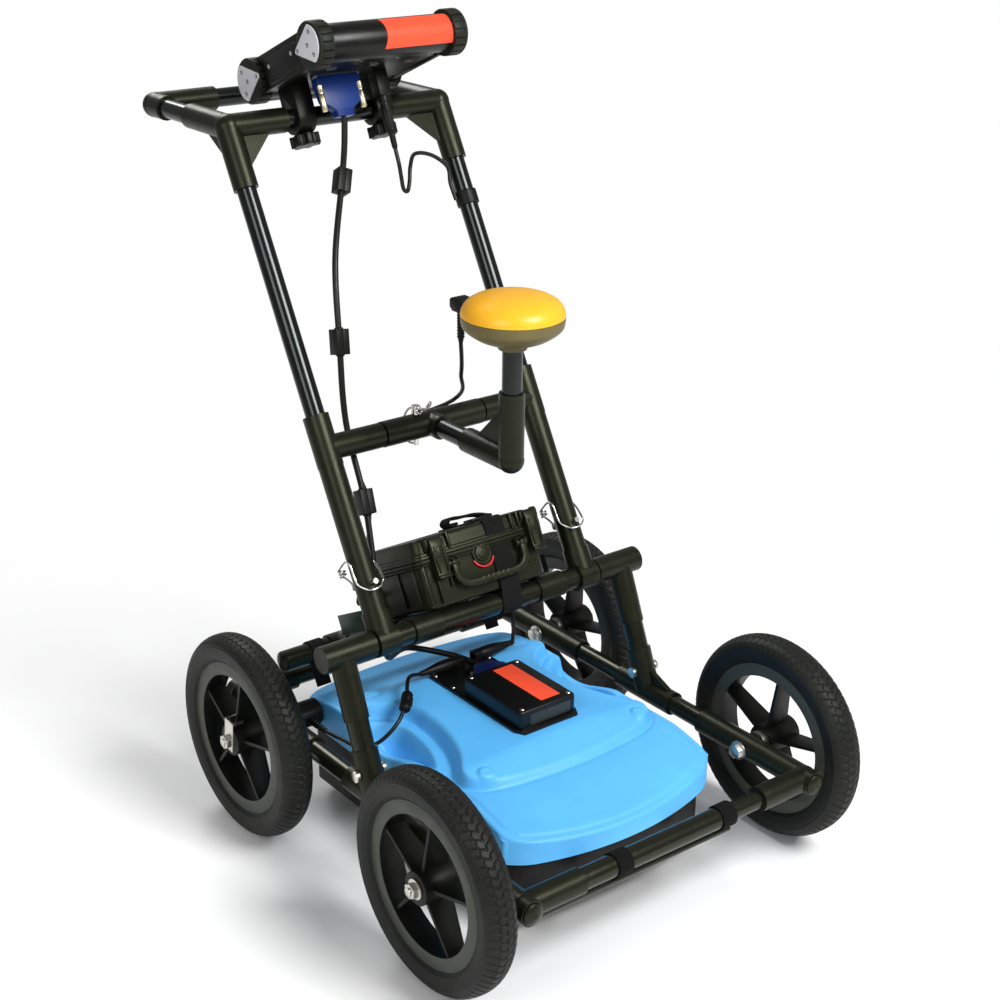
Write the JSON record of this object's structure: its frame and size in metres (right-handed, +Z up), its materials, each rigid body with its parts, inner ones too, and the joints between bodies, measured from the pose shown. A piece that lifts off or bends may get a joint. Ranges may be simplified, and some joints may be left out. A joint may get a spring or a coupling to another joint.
{
  "type": "ground penetrating radar cart",
  "caption": "Four-wheeled tubular push cart with a ground radar antenna, battery case, position receiver mast and tilting display console",
  "frame": {"origin": "On the floor, at the middle of the bounding box", "axes": "X to the right seen from the front, Y to the rear where the push handle is, Z up"},
  "size_m": [0.6986, 1.0449, 1.1385],
  "materials": {
    "pipe": "satin",
    "tyre": "matte",
    "rim": "satin",
    "zinc": "zinc plated",
    "tray": "satin",
    "blue_shell": "satin gloss",
    "skid": "matte",
    "yellow": "gloss",
    "olive": "satin",
    "webbing": "woven",
    "radar": "satin",
    "plug": "satin",
    "case": "textured",
    "bumper": "matte",
    "grey": "satin",
    "glass": "glossy",
    "cable": "matte"
  },
  "bodies": {
    "chassis": {"base_tubes": "pipe", "corner_fittings": "pipe", "end_plugs": "pipe", "axle_couplings": "pipe", "post_feet": "pipe", "post_tubes": "pipe", "frame_tees": "pipe", "handle_sleeves": "pipe", "deck_tubes": "pipe", "case_tray": "tray", "frame_bolts": "zinc", "handle_tees": "pipe", "upper_tubes": "pipe", "handle_corners": "pipe", "elbows": "pipe", "lock_pins": "zinc", "gps_tubes": "pipe", "gps_base": "olive", "gps_dome": "yellow", "antenna_shell": "blue_shell", "antenna_skid": "skid", "antenna_straps": "webbing", "radar_box": "radar", "radar_plugs": "plug", "encoder": "rim", "case_base": "case", "battery": "case", "case_strap": "webbing", "main_cable": "cable", "encoder_cable": "cable", "power_cable": "cable", "gps_cable": "cable", "battery_cable": "cable", "cable_ferrites": "case"},
    "wheel_fl": {"tyre_fl": "tyre", "rim_fl": "rim"},
    "wheel_fr": {"tyre_fr": "tyre", "rim_fr": "rim"},
    "wheel_rl": {"tyre_rl": "tyre", "rim_rl": "rim", "drive_axle": "zinc"},
    "wheel_rr": {"tyre_rr": "tyre", "rim_rr": "rim"},
    "console": {"console_body": "case", "console_bumpers": "bumper", "console_plates": "grey", "console_screen": "glass", "console_clamps": "case", "console_plugs": "plug"},
    "left_knob": {"knob_left": "rim"},
    "right_knob": {"knob_right": "rim"},
    "lid": {"case_lid": "case", "strap_tail": "webbing"},
    "left_latch": {"latch_left": "case"},
    "right_latch": {"latch_right": "case"},
    "grip": {"case_handle": "case"},
    "left_bail": {"bail_left": "zinc"},
    "right_bail": {"bail_right": "zinc"},
    "receiver_bail": {"bail_gps": "zinc"}
  },
  "joints": [
    {"name": "roll_fl", "type": "hinge", "parent": "chassis", "child": "wheel_fl", "pos_m": [-0.308, -0.37014, 0.1524], "axis": [1, 0, 0], "continuous": true},
    {"name": "roll_fr", "type": "hinge", "parent": "chassis", "child": "wheel_fr", "pos_m": [0.308, -0.37014, 0.1524], "axis": [1, 0, 0], "continuous": true},
    {"name": "roll_rl", "type": "hinge", "parent": "chassis", "child": "wheel_rl", "pos_m": [-0.308, 0.09186, 0.1524], "axis": [1, 0, 0], "continuous": true},
    {"name": "roll_rr", "type": "hinge", "parent": "chassis", "child": "wheel_rr", "pos_m": [0.308, 0.09186, 0.1524], "axis": [1, 0, 0], "continuous": true},
    {"name": "console_tilt", "type": "hinge", "parent": "chassis", "child": "console", "pos_m": [0, 0.29182, 0.98725], "axis": [1, 0, 0], "range_deg": [-20, 20], "deforming": ["main_cable", "power_cable"]},
    {"name": "left_knob_turn", "type": "hinge", "parent": "console", "child": "left_knob", "pos_m": [-0.062, 0.27877, 0.95694], "axis": [0, 0.3955, 0.9184], "continuous": true},
    {"name": "right_knob_turn", "type": "hinge", "parent": "console", "child": "right_knob", "pos_m": [0.072, 0.27877, 0.95694], "axis": [0, 0.3955, 0.9184], "continuous": true},
    {"name": "lid_open", "type": "hinge", "parent": "chassis", "child": "lid", "pos_m": [0, 0.11377, 0.33714], "axis": [-1, 0, 0], "range_deg": [0, 80]},
    {"name": "left_latch_swing", "type": "hinge", "parent": "lid", "child": "left_latch", "pos_m": [-0.077, -0.04949, 0.45084], "axis": [-1, 0, 0], "range_deg": [0, 100]},
    {"name": "right_latch_swing", "type": "hinge", "parent": "lid", "child": "right_latch", "pos_m": [0.093, -0.04949, 0.45084], "axis": [-1, 0, 0], "range_deg": [0, 100]},
    {"name": "grip_swing", "type": "hinge", "parent": "chassis", "child": "grip", "pos_m": [0, -0.07115, 0.41817], "axis": [-1, 0, 0], "range_deg": [0, 110]},
    {"name": "left_bail_swing", "type": "hinge", "parent": "chassis", "child": "left_bail", "pos_m": [-0.181, -0.0159, 0.39495], "axis": [1, 0, 0], "range_deg": [0, 12]},
    {"name": "right_bail_swing", "type": "hinge", "parent": "chassis", "child": "right_bail", "pos_m": [0.181, -0.0159, 0.39495], "axis": [1, 0, 0], "range_deg": [0, 12]},
    {"name": "receiver_bail_swing", "type": "hinge", "parent": "chassis", "child": "receiver_bail", "pos_m": [-0.027, 0.05917, 0.60344], "axis": [0, 1, 0], "range_deg": [0, 12]}
  ]
}
